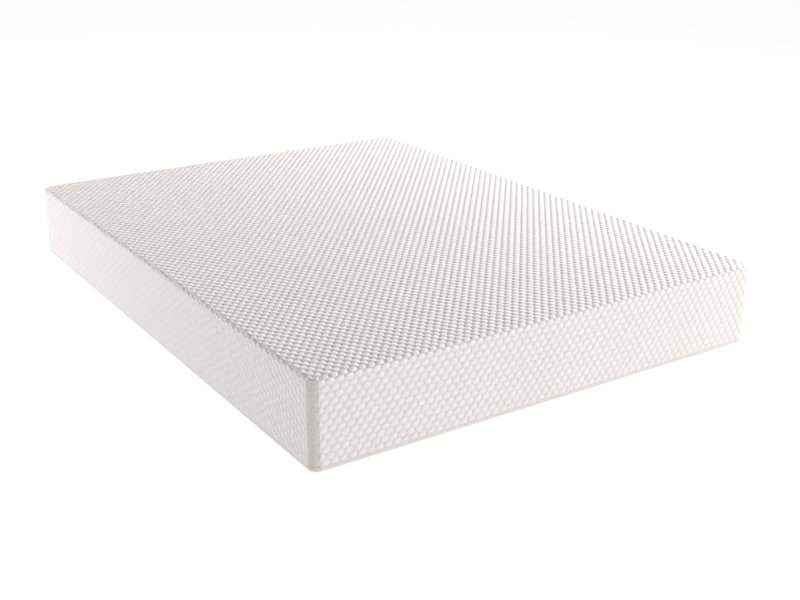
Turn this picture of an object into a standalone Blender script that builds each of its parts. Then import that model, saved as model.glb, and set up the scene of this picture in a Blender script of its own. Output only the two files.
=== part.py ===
"""Memory foam mattress with a zip-off cover of puffed knit.

Metres, +Z up. The origin is the middle of the underside, the head end is at +Y
and the foot end at -Y. Seen from the foot, left is -X and right is +X.

From the inside out: three foam slabs, a knitted fire barrier (a sleeve with an
end panel sewn in at each end), and a cover in two halves. The lower half is the
base panel with the lower zip tape. The upper half is one knit that runs over
the top and down the four sides. A zip runs all the way round the bottom edge,
behind a smooth hem band that leaves it open to the hand along the head end.
Every ring and wall is placed by its inset, its distance in from the outer side.
"""

from math import atan2, cos, pi, sin

import bmesh
import bpy

# Outer size, 60 x 80 x 10 in.
WIDTH = 1.524
LENGTH = 2.032
HEIGHT = 0.254
CORNER_RADIUS = 0.030
TOP_EDGE_RADIUS = 0.014
CORNER_STEPS = 8
TOP_EDGE_STEPS = 5
GAP = 0.0003

# Cover.
COVER_THICKNESS = 0.006
COVER_BOTTOM = 0.016
BASE_INSET = 0.009
BASE_THICKNESS = 0.002
HEM_INSET = 0.0008
HEM_THICKNESS = 0.0014
HEM_BOTTOM = BASE_THICKNESS + 0.0005
HEM_CURL_RADIUS = 0.011
HEM_CURL_STEPS = 6
HEM_END_X = 0.700

# Zip, in a ring behind the hem band.
TAPE_INSET = COVER_THICKNESS + GAP
TAPE_THICKNESS = 0.0008
COIL_INSET = 0.0046
COIL_THICKNESS = 0.0014
COIL_WIDTH = 0.002
CHAIN_HEIGHT = 0.008
CHAIN_GAP = 0.0014
UPPER_TAPE_TOP = 0.028
TAPE_EDGE_SETBACK = 0.0005
LOWER_TAPE_FLANGE = 0.010

# Slider and pull tab. Along the head end, the slider runs in the X direction.
SLIDER_X = 0.675
SLIDER_LENGTH = 0.012
SLIDER_WIDTH = 0.0088
PLATE_THICKNESS = 0.0012
PLATE_CORNER_RADIUS = 0.0025
OUTER_PLATE_INSET = 0.0032
INNER_PLATE_INSET = TAPE_INSET + TAPE_THICKNESS + GAP
POST_LENGTH = 0.003
POST_WIDTH = 0.0008
BRIDGE_LENGTH = 0.0086
BRIDGE_WIDTH = 0.002
BRIDGE_BAR = 0.0008
BRIDGE_LEG = 0.0012
BRIDGE_CLEARANCE = 0.0016
TAB_LENGTH = 0.018
TAB_WIDTH = 0.0054
TAB_THICKNESS = 0.0009
TAB_CORNER_RADIUS = 0.0012
TAB_ARM_WIDTH = 0.0010
TAB_EYE_LENGTH = 0.0050
TAB_EYE_RADIUS = 0.0004
TAB_GRIP_LENGTH = 0.0060
TAB_GRIP_WIDTH = 0.0024
TAB_GRIP_MARGIN = 0.0018
TAB_GRIP_RADIUS = 0.0010
STOP_LENGTH = 0.003
STOP_CLEARANCE = 0.0005

# Core: the fire barrier and the foam inside it.
BARRIER_INSET = 0.009
BARRIER_THICKNESS = 0.0012
BARRIER_BOTTOM = BASE_THICKNESS + GAP + TAPE_THICKNESS + GAP
BARRIER_TOP = HEIGHT - COVER_THICKNESS - GAP
BARRIER_EDGE_RADIUS = 0.012
BARRIER_END_DEPTH = 0.024
FOAM_INSET = BARRIER_INSET + BARRIER_THICKNESS + GAP
MEMORY_THICKNESS = 0.051
TRANSITION_THICKNESS = 0.051

# Tape over the four upright seams, inside the cover. Each seam is on the rounded corner,
# nearer to the end panel, and its angle is measured from the long side's normal.
SEAM_TAPE_BOTTOM = UPPER_TAPE_TOP + 0.004
SEAM_TAPE_TOP = 0.226
SEAM_TAPE_THICKNESS = 0.0012
SEAM_TAPE_ANGLE = 3 * pi / 8
SEAM_TAPE_HALF_ANGLE = pi / 8


def clear_scene():
    for old in list(bpy.data.objects):
        bpy.data.objects.remove(old, do_unlink=True)


def new_collection(name):
    collection = bpy.data.collections.new(name)
    bpy.context.scene.collection.children.link(collection)
    return collection


def new_material(name, colour, roughness, metallic=0.0):
    material = bpy.data.materials.new(name)
    material.use_nodes = True
    shader = material.node_tree.nodes["Principled BSDF"]
    shader.inputs["Base Color"].default_value = (*colour, 1.0)
    shader.inputs["Roughness"].default_value = roughness
    shader.inputs["Metallic"].default_value = metallic
    return material


def add_object(name, bm, location, material, collection=None):
    """Turns a bmesh into a named object at this location. A helper has no collection yet."""
    mesh = bpy.data.meshes.new(name)
    bm.to_mesh(mesh)
    bm.free()
    mesh.materials.append(material)
    obj = bpy.data.objects.new(name, mesh)
    obj.location = location
    if collection:
        collection.objects.link(obj)
    return obj


def shade_smooth(obj, angle=pi / 5):
    obj.data.shade_smooth()
    obj.data.set_sharp_from_angle(angle=angle)


def box_bmesh(size):
    bm = bmesh.new()
    bmesh.ops.create_cube(bm, size=1.0)
    bmesh.ops.scale(bm, vec=size, verts=bm.verts)
    return bm


def bevel(bm, edges, radius, steps):
    bmesh.ops.bevel(
        bm, geom=list(edges), offset=radius, segments=steps, profile=0.5, affect="EDGES"
    )


def upright_edges(bm):
    return [e for e in bm.edges if abs(e.verts[0].co.z - e.verts[1].co.z) > 1e-6]


def rounded_block(inset, height, top_radius=0.0):
    """A block this far inside the mattress's outline, centred, with rounded upright edges."""
    bm = box_bmesh((WIDTH - 2 * inset, LENGTH - 2 * inset, height))
    bevel(bm, upright_edges(bm), CORNER_RADIUS - inset, CORNER_STEPS)
    if top_radius:
        top = max(bm.faces, key=lambda face: face.calc_center_median().z)
        bevel(bm, top.edges, top_radius, TOP_EDGE_STEPS)
    return bm


def delete_faces(bm, condition):
    """Deletes each face whose centre and normal meet the condition."""
    doomed = [f for f in bm.faces if condition(f.calc_center_median(), f.normal)]
    bmesh.ops.delete(bm, geom=doomed, context="FACES")


def cut(bm, point, normal, keep_above):
    """Cuts the mesh by a plane. keep_above leaves only the part on the normal's side."""
    bmesh.ops.bisect_plane(
        bm,
        geom=list(bm.verts) + list(bm.edges) + list(bm.faces),
        plane_co=point,
        plane_no=normal,
        clear_inner=keep_above,
    )


def thicken(obj, thickness):
    """Solidifies an open surface inwards, away from its normals."""
    solidify = obj.modifiers.new("Thickness", "SOLIDIFY")
    solidify.thickness = thickness
    solidify.offset = -1.0
    solidify.use_even_offset = True
    return obj


def band_bmesh(inset, height):
    """The upright wall of a rounded block, open at top and bottom."""
    bm = rounded_block(inset, height)
    bm.normal_update()
    delete_faces(bm, lambda centre, normal: abs(normal.z) > 0.5)
    return bm


def perimeter_band(name, inset, bottom, top, thickness, material, collection):
    """A ring of this thickness round the whole mattress, between two heights."""
    bm = band_bmesh(inset, top - bottom)
    obj = add_object(name, bm, (0, 0, (bottom + top) / 2), material, collection)
    thicken(obj, thickness)
    shade_smooth(obj)
    return obj


def unite(obj, others, helpers):
    """Joins helper solids to the object. The helpers stay as hidden cutters."""
    for other in others:
        helpers.objects.link(other)
        other.hide_render = True
        other.display_type = "WIRE"
        union = obj.modifiers.new("Join " + other.name, "BOOLEAN")
        union.operation = "UNION"
        union.object = other
    return obj


# Core


def make_foam_slab(name, bottom, top, edge_radius, material, collection):
    bm = rounded_block(FOAM_INSET, top - bottom, edge_radius)
    obj = add_object(name, bm, (0, 0, (bottom + top) / 2), material, collection)
    shade_smooth(obj)
    return obj


def make_foam(materials, collection):
    """The three slabs, stacked from the top down with a small gap between them."""
    top = BARRIER_TOP - BARRIER_THICKNESS - GAP
    slabs = [
        ("memory_foam", MEMORY_THICKNESS, BARRIER_EDGE_RADIUS - BARRIER_THICKNESS),
        ("transition_foam", TRANSITION_THICKNESS, 0.0),
        ("support_foam", None, 0.0),
    ]
    for name, thickness, edge_radius in slabs:
        lowest = BARRIER_BOTTOM + BARRIER_THICKNESS + GAP
        bottom = top - thickness if thickness else lowest
        make_foam_slab(name, bottom, top, edge_radius, materials[name], collection)
        top = bottom - GAP


def barrier_bmesh():
    return rounded_block(BARRIER_INSET, BARRIER_TOP - BARRIER_BOTTOM, BARRIER_EDGE_RADIUS)


def make_barrier(material, collection):
    """The fire barrier: a sleeve along the length, and a dished panel closing each end."""
    middle = (0, 0, (BARRIER_TOP + BARRIER_BOTTOM) / 2)
    sleeve_end = LENGTH / 2 - BARRIER_INSET - BARRIER_END_DEPTH
    sleeve = barrier_bmesh()
    for side in (1, -1):
        cut(sleeve, (0, side * sleeve_end, 0), (0, -side, 0), keep_above=True)
    obj = add_object("barrier_sleeve", sleeve, middle, material, collection)
    shade_smooth(thicken(obj, BARRIER_THICKNESS))
    for side, name in ((1, "barrier_end_head"), (-1, "barrier_end_foot")):
        panel = barrier_bmesh()
        cut(panel, (0, side * (sleeve_end + GAP), 0), (0, side, 0), keep_above=True)
        obj = add_object(name, panel, middle, material, collection)
        shade_smooth(thicken(obj, BARRIER_THICKNESS))


# Cover, lower half


def make_base_panel(material, collection):
    bm = rounded_block(BASE_INSET, BASE_THICKNESS)
    obj = add_object("cover_base", bm, (0, 0, BASE_THICKNESS / 2), material, collection)
    shade_smooth(obj)
    return obj


def make_lower_tape(material, collection):
    """Woven tape, folded: an upright leg by the coil, and a flange sewn to the base panel."""
    bottom = BASE_THICKNESS + GAP
    top = CHAIN_HEIGHT - CHAIN_GAP / 2 - TAPE_EDGE_SETBACK
    middle = (0, 0, (bottom + top) / 2)
    bm = rounded_block(TAPE_INSET, top - bottom)
    bm.normal_update()
    delete_faces(bm, lambda centre, normal: normal.z > 0.5)
    bm.faces.ensure_lookup_table()
    floor = max(bm.faces, key=lambda face: face.calc_area())
    bmesh.ops.inset_region(bm, faces=[floor], thickness=LOWER_TAPE_FLANGE, use_even_offset=True)
    floor = max(bm.faces, key=lambda face: face.calc_area())
    bmesh.ops.delete(bm, geom=[floor], context="FACES")
    obj = add_object("zip_tape_lower", bm, middle, material, collection)
    shade_smooth(thicken(obj, TAPE_THICKNESS))
    return obj


# Cover, upper half


def make_cover_upper(material, collection):
    """The puffed knit: top and four sides in one, open underneath."""
    bm = rounded_block(0.0, HEIGHT - COVER_BOTTOM, TOP_EDGE_RADIUS)
    bm.normal_update()
    delete_faces(bm, lambda centre, normal: normal.z < -0.5)
    middle = (0, 0, (HEIGHT + COVER_BOTTOM) / 2)
    obj = add_object("cover_upper", bm, middle, material, collection)
    shade_smooth(thicken(obj, COVER_THICKNESS))
    return obj


def make_hem_band(material, collection):
    """The smooth band below the puffs, which curls in under the edge.

    It leaves the zip open along the head end.
    """
    top = COVER_BOTTOM - GAP
    bm = rounded_block(HEM_INSET, top)
    underside = min(bm.faces, key=lambda face: face.calc_center_median().z)
    bevel(bm, underside.edges, HEM_CURL_RADIUS, HEM_CURL_STEPS)
    cut(bm, (0, 0, HEM_BOTTOM - top / 2), (0, 0, 1), keep_above=True)
    bm.normal_update()
    delete_faces(bm, lambda centre, normal: abs(normal.z) > 0.99)
    for side in (1, -1):
        cut(bm, (side * HEM_END_X, 0, 0), (side, 0, 0), keep_above=False)
    delete_faces(bm, lambda centre, normal: abs(centre.x) < HEM_END_X and centre.y > 0)
    obj = add_object("hem_band", bm, (0, 0, top / 2), material, collection)
    shade_smooth(thicken(obj, HEM_THICKNESS))
    return obj


def make_seam_tapes(material, collection):
    """A tape behind each upright corner seam, bent round the inside of the corner."""
    inset = COVER_THICKNESS + GAP
    centre_x = WIDTH / 2 - CORNER_RADIUS
    centre_y = LENGTH / 2 - CORNER_RADIUS
    corners = {
        "corner_seam_head_right": (1, 1),
        "corner_seam_head_left": (-1, 1),
        "corner_seam_foot_left": (-1, -1),
        "corner_seam_foot_right": (1, -1),
    }
    for name, (side_x, side_y) in corners.items():

        def outside_tape(centre, normal):
            along_x = centre.x * side_x - centre_x
            along_y = centre.y * side_y - centre_y
            if along_x < 0 or along_y < 0:
                return True
            return abs(atan2(along_y, along_x) - SEAM_TAPE_ANGLE) > SEAM_TAPE_HALF_ANGLE

        bm = band_bmesh(inset, SEAM_TAPE_TOP - SEAM_TAPE_BOTTOM)
        delete_faces(bm, outside_tape)
        middle = (0, 0, (SEAM_TAPE_TOP + SEAM_TAPE_BOTTOM) / 2)
        obj = add_object(name, bm, middle, material, collection)
        shade_smooth(thicken(obj, SEAM_TAPE_THICKNESS))


# Zip


def make_coils(material, collection):
    """The two coils, a little apart so that the slider's post passes between them."""
    lower_top = CHAIN_HEIGHT - CHAIN_GAP / 2
    upper_bottom = CHAIN_HEIGHT + CHAIN_GAP / 2
    for name, bottom in (
        ("zip_coil_lower", lower_top - COIL_WIDTH),
        ("zip_coil_upper", upper_bottom),
    ):
        perimeter_band(
            name, COIL_INSET, bottom, bottom + COIL_WIDTH, COIL_THICKNESS, material, collection
        )


def make_upper_tape(material, collection):
    bottom = CHAIN_HEIGHT + CHAIN_GAP / 2 + TAPE_EDGE_SETBACK
    perimeter_band(
        "zip_tape_upper",
        TAPE_INSET,
        bottom,
        UPPER_TAPE_TOP,
        TAPE_THICKNESS,
        material,
        collection,
    )


def make_stops(material, collection):
    """A stop on each coil, just beyond the closed slider."""
    x = SLIDER_X + SLIDER_LENGTH / 2 + STOP_CLEARANCE + STOP_LENGTH / 2
    depth = COIL_INSET - GAP - OUTER_PLATE_INSET - GAP
    y = LENGTH / 2 - COIL_INSET + GAP + depth / 2
    offset = (CHAIN_GAP + COIL_WIDTH) / 2
    for name, z in (
        ("zip_stop_upper", CHAIN_HEIGHT + offset),
        ("zip_stop_lower", CHAIN_HEIGHT - offset),
    ):
        bm = box_bmesh((STOP_LENGTH, depth, COIL_WIDTH))
        bevel(bm, bm.edges, depth / 4, 2)
        shade_smooth(add_object(name, bm, (x, y, z), material, collection))


def slider_block(name, size, inset, material, collection=None, x=0.0, radius=0.0):
    """A block of the slider, in the slider's own frame, whose outer face has this inset."""
    bm = box_bmesh(size)
    if radius:
        edges = [e for e in bm.edges if abs(e.verts[0].co.y - e.verts[1].co.y) > 1e-6]
        bevel(bm, edges, radius, 4)
    bmesh.ops.translate(bm, verts=bm.verts, vec=(x, -inset - size[1] / 2, 0))
    return add_object(name, bm, (0, 0, 0), material, collection)


def make_slider(material, collection, helpers):
    """Two plates held by a post between the coils, with a bridge for the pull tab."""
    plate = (SLIDER_LENGTH, PLATE_THICKNESS, SLIDER_WIDTH)
    radius = PLATE_CORNER_RADIUS
    slider = slider_block(
        "zip_slider", plate, OUTER_PLATE_INSET, material, collection, radius=radius
    )
    inner = slider_block("slider_inner_plate", plate, INNER_PLATE_INSET, material, radius=radius)

    overlap = PLATE_THICKNESS / 2
    post_inset = OUTER_PLATE_INSET + overlap
    post_depth = INNER_PLATE_INSET + overlap - post_inset
    post_x = SLIDER_LENGTH / 2 - POST_LENGTH
    post = slider_block(
        "slider_post", (POST_LENGTH, post_depth, POST_WIDTH), post_inset, material, x=post_x
    )

    bar_inset = OUTER_PLATE_INSET - BRIDGE_CLEARANCE - BRIDGE_BAR
    bar = slider_block(
        "slider_bridge_bar", (BRIDGE_LENGTH, BRIDGE_BAR, BRIDGE_WIDTH), bar_inset, material
    )
    leg_inset = bar_inset + BRIDGE_BAR / 2
    leg_depth = OUTER_PLATE_INSET + overlap - leg_inset
    legs = []
    for side in (1, -1):
        leg_x = side * (BRIDGE_LENGTH - BRIDGE_LEG) / 2
        name = "slider_bridge_leg_" + ("front" if side > 0 else "back")
        size = (BRIDGE_LEG, leg_depth, BRIDGE_WIDTH)
        legs.append(slider_block(name, size, leg_inset, material, x=leg_x))

    place = (SLIDER_X, LENGTH / 2, CHAIN_HEIGHT)
    pieces = [inner, post, bar] + legs
    for obj in [slider] + pieces:
        obj.location = place
    return unite(slider, pieces, helpers)


def rounded_spline(curve, x_low, x_high, half_width, radius, steps=5):
    """Adds a closed rectangle with round corners to a 2D curve."""
    corners = (
        (x_high - radius, half_width - radius, 0.0),
        (x_low + radius, half_width - radius, pi / 2),
        (x_low + radius, radius - half_width, pi),
        (x_high - radius, radius - half_width, 3 * pi / 2),
    )
    points = []
    for x, y, start in corners:
        for step in range(steps + 1):
            angle = start + step * pi / 2 / steps
            points.append((x + radius * cos(angle), y + radius * sin(angle), 0, 1))
    spline = curve.splines.new("POLY")
    spline.points.add(len(points) - 1)
    for point, co in zip(spline.points, points):
        point.co = co
    spline.use_cyclic_u = True


def make_pull_tab(material, collection, slider):
    """A flat tab with an eye whose end bar turns under the slider's bridge.

    Its origin is on the hinge axis, and at rest it lies along -X over the closed zip.
    """
    curve = bpy.data.curves.new("zip_pull", "CURVE")
    curve.dimensions = "2D"
    curve.fill_mode = "BOTH"
    curve.extrude = TAB_THICKNESS / 2
    bar = TAB_THICKNESS / 2
    rounded_spline(curve, -TAB_LENGTH, bar, TAB_WIDTH / 2, TAB_CORNER_RADIUS)
    eye_half = TAB_WIDTH / 2 - TAB_ARM_WIDTH
    rounded_spline(curve, -bar - TAB_EYE_LENGTH, -bar, eye_half, TAB_EYE_RADIUS, steps=2)
    grip_start = TAB_GRIP_MARGIN - TAB_LENGTH
    grip_end = grip_start + TAB_GRIP_LENGTH
    rounded_spline(curve, grip_start, grip_end, TAB_GRIP_WIDTH / 2, TAB_GRIP_RADIUS)
    curve.materials.append(material)
    obj = bpy.data.objects.new("zip_pull", curve)
    collection.objects.link(obj)
    obj.parent = slider
    hinge_inset = OUTER_PLATE_INSET - BRIDGE_CLEARANCE / 2
    obj.location = (0, -hinge_inset, 0)
    obj.rotation_euler = (pi / 2, 0, 0)
    return obj


def main():
    clear_scene()
    mattress = new_collection("memory_foam_mattress")
    helpers = new_collection("cutters")
    helpers.hide_render = True

    foams = {
        "memory_foam": new_material("memory_foam", (0.86, 0.90, 0.88), 0.85),
        "transition_foam": new_material("transition_foam", (0.93, 0.92, 0.88), 0.9),
        "support_foam": new_material("support_foam", (0.88, 0.88, 0.86), 0.9),
    }
    barrier = new_material("barrier_knit", (0.85, 0.84, 0.80), 0.9)
    knit = new_material("puffed_knit", (0.84, 0.82, 0.80), 0.85)
    hem = new_material("hem_knit", (0.78, 0.76, 0.74), 0.8)
    base = new_material("base_fabric", (0.62, 0.62, 0.62), 0.85)
    tape = new_material("woven_tape", (0.80, 0.79, 0.77), 0.8)
    coil = new_material("zip_coil", (0.78, 0.77, 0.75), 0.45)
    metal = new_material("zip_metal", (0.75, 0.75, 0.76), 0.3, metallic=1.0)

    make_foam(foams, mattress)
    make_barrier(barrier, mattress)
    make_base_panel(base, mattress)
    make_lower_tape(tape, mattress)
    make_upper_tape(tape, mattress)
    make_coils(coil, mattress)
    make_stops(metal, mattress)
    slider = make_slider(metal, mattress, helpers)
    make_pull_tab(metal, mattress, slider)
    make_cover_upper(knit, mattress)
    make_hem_band(hem, mattress)
    make_seam_tapes(tape, mattress)


main()
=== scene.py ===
"""Looks of the memory foam mattress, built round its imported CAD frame.

Metres, +Z up, head end at +Y, foot end at -Y. Every soft piece is a mesh made
here from the frame's sizes: the puffed knit is a height field on a rounded box,
and the hem, tapes, stitches and zip teeth are swept round the same outline.
"""

from math import cos, pi, radians, sin

import bpy
import numpy as np
from mathutils import Euler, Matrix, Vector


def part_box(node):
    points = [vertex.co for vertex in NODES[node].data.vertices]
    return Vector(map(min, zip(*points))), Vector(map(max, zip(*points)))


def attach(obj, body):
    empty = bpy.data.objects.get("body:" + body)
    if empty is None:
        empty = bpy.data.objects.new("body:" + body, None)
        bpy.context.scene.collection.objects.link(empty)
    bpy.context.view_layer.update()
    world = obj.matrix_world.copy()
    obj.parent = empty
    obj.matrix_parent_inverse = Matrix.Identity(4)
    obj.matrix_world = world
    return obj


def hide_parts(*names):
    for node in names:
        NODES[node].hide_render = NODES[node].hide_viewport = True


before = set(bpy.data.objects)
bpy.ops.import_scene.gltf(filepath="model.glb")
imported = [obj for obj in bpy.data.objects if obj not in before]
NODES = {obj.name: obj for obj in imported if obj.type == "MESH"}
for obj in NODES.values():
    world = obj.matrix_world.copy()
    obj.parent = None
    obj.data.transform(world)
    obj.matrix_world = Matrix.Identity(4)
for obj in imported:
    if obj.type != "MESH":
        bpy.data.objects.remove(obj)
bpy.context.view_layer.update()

# Sizes read from the frame.
COVER_LOW, COVER_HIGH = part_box("cover_upper")
HALF_X, HALF_Y = COVER_HIGH.x, COVER_HIGH.y
TOP = COVER_HIGH.z
COVER_BOTTOM = COVER_LOW.z

# The cover's rounded form.
CORNER_RADIUS = 0.030
TOP_RADIUS = 0.014
COVER_THICKNESS = 0.006
# The top corners slump: by how much, from how far inside the corner, and over what reach.
CORNER_DROP = 0.0040
CORNER_REACH = 0.009
CORNER_SPREAD = 0.030
CROWN = 0.0007
SLOW_WAVE = 0.0003
SLOW_WAVE_LENGTH = 0.42

# The puffs: a staggered lattice that runs on over the top edges.
PUFF_HEIGHT = 0.0047
PUFF_STEP_U = 0.0259
PUFF_STEP_V = 0.0179
PUFF_SHIFT_U = 0.01457
PUFF_RADIUS_U = 0.0121
PUFF_RADIUS_V = 0.0106
PUFF_LEAN = 0.02
PUFF_FULLNESS = 4.4
PUFF_SHIFT_JITTER = (0.0009, 0.0007)
PUFF_SIZE_JITTER = 0.05
PUFF_HEIGHT_JITTER = 0.12
# On the sides the gaps are shallower, the painted shade in them is eased, and the puffs are painted
# darker, so the tone is more even.
SIDE_PUFF_DEPTH = 0.70
SIDE_GAP_SHADE_EASE = 0.4
SIDE_PUFF_SHADE = 0.22
SIDE_STARTS = TOP - 0.003
SIDE_IN_FULL = TOP - 0.019
PUFF_START_U = -HALF_X + 0.030
PUFF_START_V = -HALF_Y - 0.0094
GRID_U = PUFF_STEP_U / 9
GRID_V = PUFF_STEP_V / 7

# Upright corner seams, on the end panels, and the smooth band round the corner.
SEAM_SETBACK = 0.0167
SEAM_HALF_WIDTH = 0.0022
SEAM_DEPTH = 0.0012
BAND_LEVEL = 0.0031
BAND_EDGE = 0.0235
TUG_DEPTH = 0.00035
TUG_LENGTH = 0.0135

# The smooth hem under the puffs, which curls in to the base.
HEM_LEVEL = 0.0036
HEM_CURL_RADIUS = 0.011
HEM_INSET = 0.0008
HEM_THICKNESS = 0.0014
HEM_END_X = 0.700
HEM_STITCH_HEIGHT = 0.0136
HEM_TURNS = (50, 42, 34, 26, 18, 10, 3)
HEM_HEIGHTS = (0.0116, 0.0126, 0.0131, 0.0136, 0.0141, 0.0148, 0.01555, 0.01578)

# Light.
WHITE = (1.0, 1.0, 1.0, 1.0)
WORLD_STRENGTH = 0.41
FLOOR_EMISSION = 0.80
FLOOR_HALF_SIZE = 30.0
FLOOR_DROP = 0.0004

# Zip, inner face and core.
BACKING_INSET = 0.0052
BACKING_CORNER_DROP = 0.0008
BACKING_GAP = 0.0004
TAPE_THICKNESS = 0.0008
COIL_DEPTH = 0.0014
COIL_THREAD = 0.0003
COIL_PITCH = 0.0030
COIL_POINTS = 8
COIL_SIDES = 4
COIL_REACH = 0.0006
CORNER_TAPE_INSET = 0.0069
CORNER_TAPE_THICKNESS = 0.0010
BARRIER_CORNER = 0.021
BARRIER_TOP_RADIUS = 0.012
BARRIER_LOW_RADIUS = 0.003
BARRIER_SLACK = 0.0006
SEAM_RADIUS = 0.0008
ROPE_POINTS = 2400
ROPE_TWISTS = 800
FOAM_CORNER = 0.0195
FOAM_EDGE = 0.0015

# Distances of the grid lines from the sharp edges of each piece, in millimetres.
COVER_END_LINES = (0, 2.5, 5, 7.5, 10, 12.2, 14, 15.3, 16.1, 16.7, 17.3, 18.2, 19.6, 21.4,
                   23.7, 26.3, 28.9, 31.5)
COVER_SIDE_LINES = (0, 3, 6, 9, 12, 15, 17.5, 20, 22.5, 25, 27.5, 30)
COVER_LOW_LINES = (0, 0.05, 0.3, 1.4, 2.8, 4.4, 6.2, 8.6)
COVER_TOP_LINES = (0, 3, 6, 9, 12, 15)
BACKING_LINES = (0, 3, 6, 9, 13, 17, 21, 25, 32)
BACKING_TOP_LINES = (0, 2, 4, 6, 8.4)
BARRIER_LINES = (0, 2.5, 5, 8, 11, 14, 17.5, 21, 30)
FOAM_LINES = (0, 1, 2, 4, 7, 10, 13, 16, 20)
BASE_LINES = (0, 0.4, 0.8, 3, 6, 10, 15, 22)


def smoothstep(low, high, value):
    t = np.clip((value - low) / (high - low), 0.0, 1.0)
    return t * t * (3.0 - 2.0 * t)


def noise_of(a, b, seed):
    """A repeatable value from 0 to 1 for each pair of whole numbers."""
    x = (a.astype(np.int64) * 73856093) ^ (b.astype(np.int64) * 19349663) ^ (seed * 83492791)
    x = (x ^ (x >> 13)) * 1274126177
    x = (x ^ (x >> 16)) & 0xFFFFFF
    return x / float(0xFFFFFF)


def slow_waves(u, v, length, seed):
    """Gentle undulation from -1 to 1, with waves of about this length."""
    rng = np.random.default_rng(seed)
    total = np.zeros_like(u)
    for _ in range(6):
        angle = rng.uniform(0, 2 * pi)
        size = length * rng.uniform(0.6, 1.7)
        phase = rng.uniform(0, 2 * pi)
        total += np.sin((u * cos(angle) + v * sin(angle)) * 2 * pi / size + phase)
    return total / 4.0


def bell(value, width):
    return np.exp(-((value / width) ** 2))


def unit(vectors):
    return vectors / np.linalg.norm(vectors, axis=1)[:, None]


def metres(lines):
    return np.array(lines) / 1000


# --- Meshes ------------------------------------------------------------------


def mesh_object(name, points, faces, material, fields=None, smooth=True):
    """An object from point and face arrays. fields are named float vectors per point."""
    mesh = bpy.data.meshes.new(name)
    points = np.asarray(points, np.float32)
    faces = np.asarray(faces, np.int32)
    count, sides = faces.shape
    mesh.vertices.add(len(points))
    mesh.vertices.foreach_set("co", points.ravel())
    mesh.loops.add(count * sides)
    mesh.loops.foreach_set("vertex_index", faces.ravel())
    mesh.polygons.add(count)
    mesh.polygons.foreach_set("loop_start", np.arange(count, dtype=np.int32) * sides)
    mesh.update(calc_edges=True)
    mesh.validate()
    for field, values in (fields or {}).items():
        attribute = mesh.attributes.new(field, "FLOAT_VECTOR", "POINT")
        attribute.data.foreach_set("vector", np.asarray(values, np.float32).ravel())
    if smooth:
        mesh.shade_smooth()
    mesh.materials.append(material)
    obj = bpy.data.objects.new(name, mesh)
    bpy.context.scene.collection.objects.link(obj)
    return obj


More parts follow.
